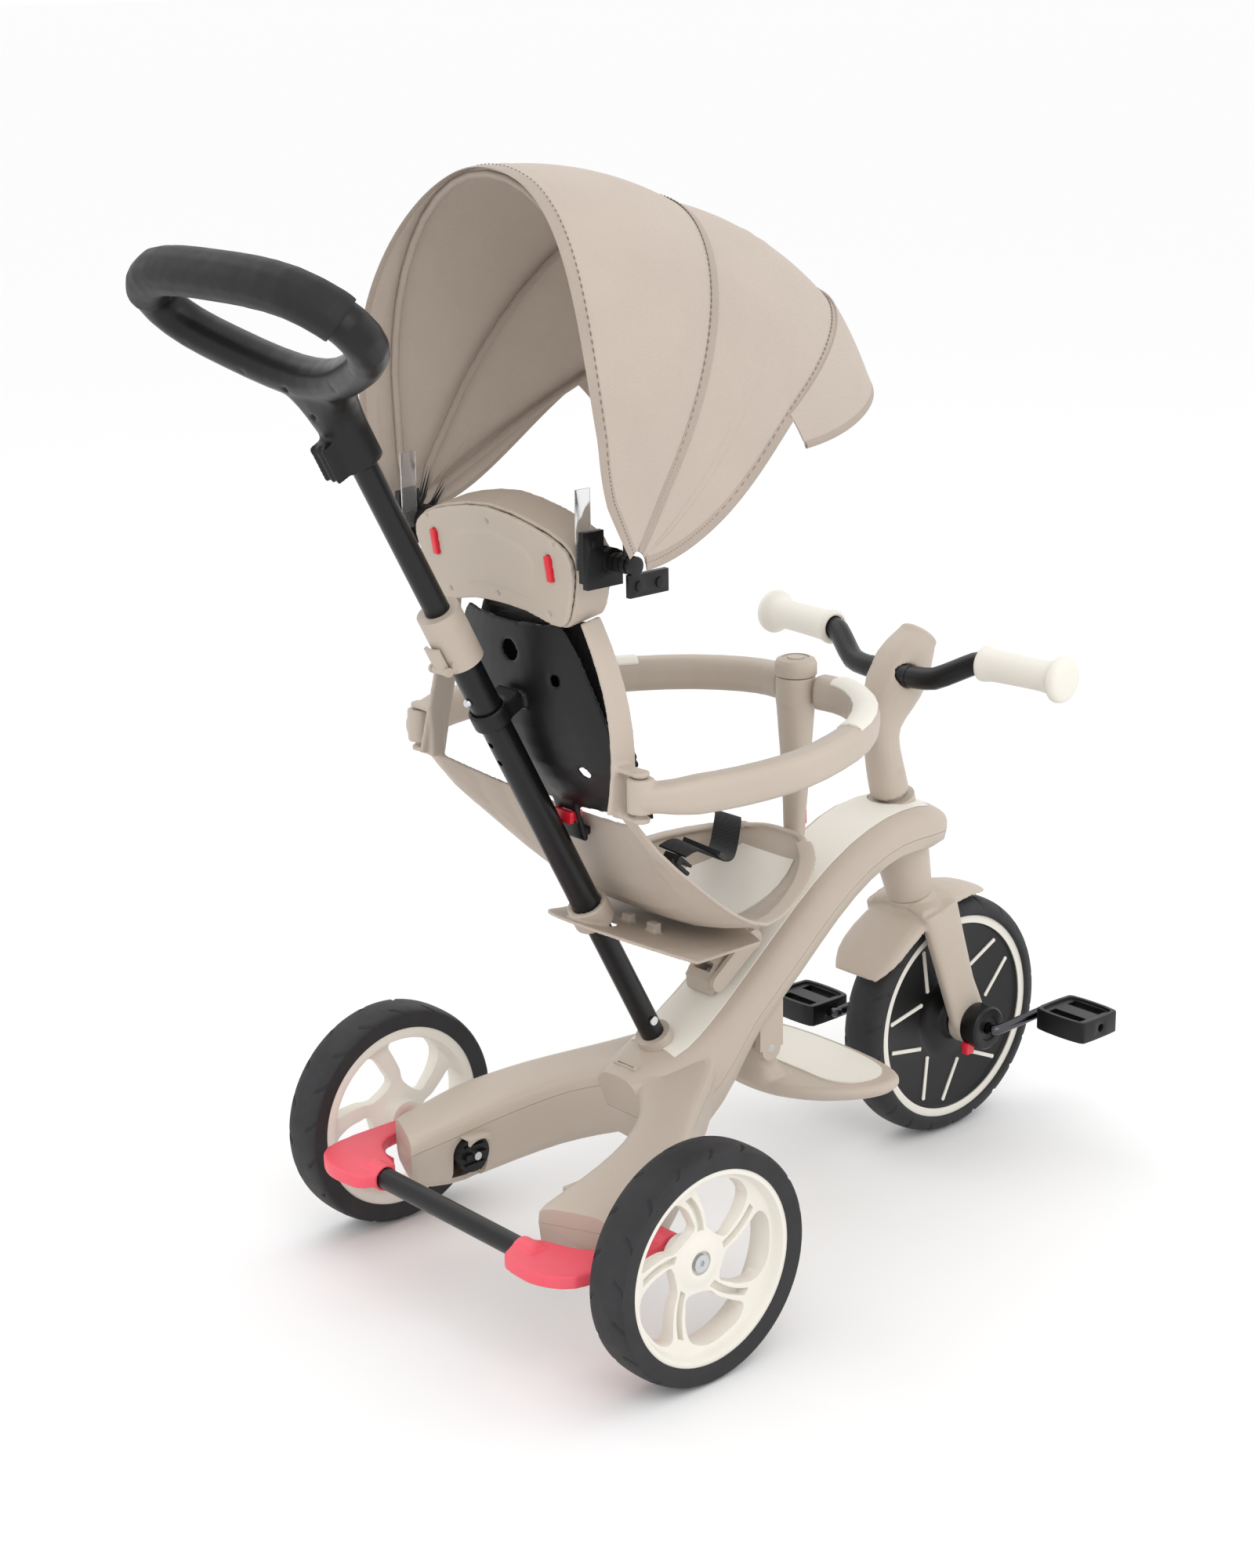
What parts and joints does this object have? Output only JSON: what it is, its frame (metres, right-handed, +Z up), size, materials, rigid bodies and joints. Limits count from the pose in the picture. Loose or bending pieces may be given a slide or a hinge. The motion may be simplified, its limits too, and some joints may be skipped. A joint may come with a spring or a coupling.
{
  "type": "children's tricycle",
  "caption": "Children's push tricycle with a parent handle, folding sun canopy, safety ring, bucket seat, footrest and pedals on the front wheel.",
  "frame": {"origin": "centre of the bounding box on the ground plane", "axes": "+X forward, +Y the rider's left, +Z up"},
  "size_m": [0.973, 0.4774, 1.0155],
  "materials": {
    "taupe_plastic": "fine satin grain",
    "cream_soft": "soft matte",
    "black_plastic": "satin",
    "black_tube": "satin powder coat",
    "grip_rubber": "soft matte",
    "tyre_rubber": "foam rubber",
    "steel": "zinc plated",
    "red_button": "satin",
    "coral_plastic": "fine satin grain",
    "canopy_fabric": "woven polyester",
    "black_fabric": "woven"
  },
  "bodies": {
    "frame": {"frame_upper_shell": "taupe_plastic", "frame_lower_shell": "taupe_plastic", "spine_inlay": "cream_soft", "axle_hardware": "steel", "rod_lower_tube": "black_tube", "rod_mid_tube": "black_tube", "rod_clamp": "taupe_plastic", "seat_clamp": "taupe_plastic", "seat_shell": "taupe_plastic", "seat_tray": "taupe_plastic", "seat_inlay": "cream_soft", "back_plate": "black_plastic", "back_cushion": "black_fabric", "lap_belt": "black_fabric", "belt_hardware": "black_plastic", "headrest_box": "taupe_plastic", "headrest_cover": "taupe_plastic", "canopy_brackets": "black_plastic", "canopy_bow_rear": "black_tube", "ring_post": "taupe_plastic"},
    "steering": {"fork": "taupe_plastic", "stem": "taupe_plastic", "handlebar_tube": "black_tube", "grips": "cream_soft", "hub_caps": "black_plastic"},
    "front_wheel": {"front_wheel_disc": "black_plastic", "front_wheel_inlay": "cream_soft", "front_tyre": "tyre_rubber"},
    "crank_set": {"crank": "steel"},
    "pedal_left": {"pedal_left": "black_plastic"},
    "pedal_right": {"pedal_right": "black_plastic"},
    "rear_wheel_left": {"rear_rim_left": "cream_soft", "rear_tyre_left": "tyre_rubber"},
    "rear_wheel_right": {"rear_rim_right": "cream_soft", "rear_tyre_right": "tyre_rubber"},
    "brake": {"brake_pedals": "coral_plastic", "brake_bar": "black_tube"},
    "footrest": {"footrest_body": "taupe_plastic", "footrest_inlay": "cream_soft"},
    "push_handle": {"rod_upper_tube": "black_tube", "handle_frame": "black_plastic", "handle_grip": "grip_rubber"},
    "clamp_lever": {"clamp_lever": "taupe_plastic"},
    "snap_button": {"snap_button": "steel"},
    "quick_release_lever": {"quick_release_lever": "taupe_plastic"},
    "backrest_button": {"backrest_button": "red_button"},
    "headrest_button_left": {"headrest_button_left": "red_button"},
    "headrest_button_right": {"headrest_button_right": "red_button"},
    "ring_post_button": {"ring_post_button": "red_button"},
    "ring_knob": {"ring_knob": "taupe_plastic"},
    "ring_left": {"ring_arm_left": "taupe_plastic", "ring_inlay_left": "cream_soft"},
    "ring_right": {"ring_arm_right": "taupe_plastic", "ring_inlay_right": "cream_soft"},
    "leg_knob": {"leg_knob": "black_plastic"},
    "canopy_mid": {"canopy_bow_mid": "black_tube", "canopy_panel_rear": "canopy_fabric"},
    "canopy_front": {"canopy_bow_front": "black_tube", "canopy_panel_front": "canopy_fabric", "canopy_visor": "canopy_fabric"}
  },
  "joints": [
    {"name": "steering_turn", "type": "hinge", "parent": "frame", "child": "steering", "pos_m": [0.2769, 0, 0.3977], "axis": [-0.2628, 0, 0.9648], "range_deg": [-30, 30]},
    {"name": "front_wheel_spin", "type": "hinge", "parent": "steering", "child": "front_wheel", "pos_m": [0.3615, 0, 0.125], "axis": [0, 1, 0], "continuous": true},
    {"name": "crank_spin", "type": "hinge", "parent": "steering", "child": "crank_set", "pos_m": [0.3615, 0, 0.125], "axis": [0, 1, 0], "continuous": true},
    {"name": "pedal_left_spin", "type": "hinge", "parent": "crank_set", "child": "pedal_left", "pos_m": [0.29946, 0.128, 0.11406], "axis": [0, 1, 0], "continuous": true},
    {"name": "pedal_right_spin", "type": "hinge", "parent": "crank_set", "child": "pedal_right", "pos_m": [0.42354, -0.128, 0.13594], "axis": [0, 1, 0], "continuous": true},
    {"name": "rear_wheel_left_spin", "type": "hinge", "parent": "frame", "child": "rear_wheel_left", "pos_m": [-0.1797, 0.2179, 0.1083], "axis": [0, 1, 0], "continuous": true},
    {"name": "rear_wheel_right_spin", "type": "hinge", "parent": "frame", "child": "rear_wheel_right", "pos_m": [-0.1797, -0.2179, 0.1083], "axis": [0, 1, 0], "continuous": true},
    {"name": "brake_press", "type": "hinge", "parent": "frame", "child": "brake", "pos_m": [-0.1797, 0, 0.1083], "axis": [0, 1, 0], "range_deg": [-8, 0], "stiffness_Nm_per_rad": 6, "springref_deg": 5.73},
    {"name": "footrest_fold", "type": "hinge", "parent": "frame", "child": "footrest", "pos_m": [0.0873, 0, 0.172], "axis": [0, 1, 0], "range_deg": [0, 25]},
    {"name": "handle_height", "type": "slide", "parent": "frame", "child": "push_handle", "axis": [-0.4648, 0, 0.8854], "range_m": [-0.12, 0]},
    {"name": "clamp_open", "type": "hinge", "parent": "frame", "child": "clamp_lever", "pos_m": [-0.2663, 0, 0.60465], "axis": [0, 1, 0], "range_deg": [-60, 0]},
    {"name": "snap_press", "type": "slide", "parent": "frame", "child": "snap_button", "axis": [0.8854, 0, 0.4648], "range_m": [0, 0.001], "stiffness_N_per_m": 400},
    {"name": "quick_release_open", "type": "hinge", "parent": "frame", "child": "quick_release_lever", "pos_m": [0.0703, 0, 0.285], "axis": [0, 1, 0], "range_deg": [0, 50]},
    {"name": "backrest_press", "type": "slide", "parent": "frame", "child": "backrest_button", "axis": [1, 0, 0], "range_m": [0, 0.0012], "stiffness_N_per_m": 400},
    {"name": "head_press_left", "type": "slide", "parent": "frame", "child": "headrest_button_left", "axis": [0.9869, 0, 0.1616], "range_m": [0, 0.002], "stiffness_N_per_m": 400},
    {"name": "head_press_right", "type": "slide", "parent": "frame", "child": "headrest_button_right", "axis": [0.9869, 0, 0.1616], "range_m": [0, 0.002], "stiffness_N_per_m": 400},
    {"name": "post_press", "type": "slide", "parent": "frame", "child": "ring_post_button", "axis": [-1, 0, 0], "range_m": [0, 0.0025], "stiffness_N_per_m": 400},
    {"name": "ring_knob_turn", "type": "hinge", "parent": "frame", "child": "ring_knob", "pos_m": [0.1513, 0, 0.53], "axis": [0, 0, 1], "range_deg": [0, 90]},
    {"name": "ring_left_open", "type": "hinge", "parent": "frame", "child": "ring_left", "pos_m": [-0.1777, 0.15, 0.508], "axis": [0, 0, 1], "range_deg": [0, 35]},
    {"name": "ring_right_open", "type": "hinge", "parent": "frame", "child": "ring_right", "pos_m": [-0.1777, -0.15, 0.508], "axis": [0, 0, 1], "range_deg": [-35, 0]},
    {"name": "leg_knob_turn", "type": "hinge", "parent": "frame", "child": "leg_knob", "pos_m": [-0.1897, 0.083, 0.113], "axis": [0, 1, 0], "range_deg": [0, 90]},
    {"name": "canopy_mid_fold", "type": "hinge", "parent": "frame", "child": "canopy_mid", "pos_m": [-0.1837, 0, 0.705], "axis": [0, 1, 0], "range_deg": [-22.5, 0], "deforming": ["canopy_panel_rear"]},
    {"name": "canopy_front_fold", "type": "hinge", "parent": "canopy_mid", "child": "canopy_front", "pos_m": [-0.1837, 0, 0.705], "axis": [0, 1, 0], "range_deg": [-16.44, 0], "deforming": ["canopy_panel_front"]}
  ],
  "couplings": [
    {"joint": "crank_spin", "follows": "front_wheel_spin", "ratio": 1},
    {"joint": "canopy_front_fold", "follows": "canopy_mid_fold", "ratio": 0.73077}
  ]
}
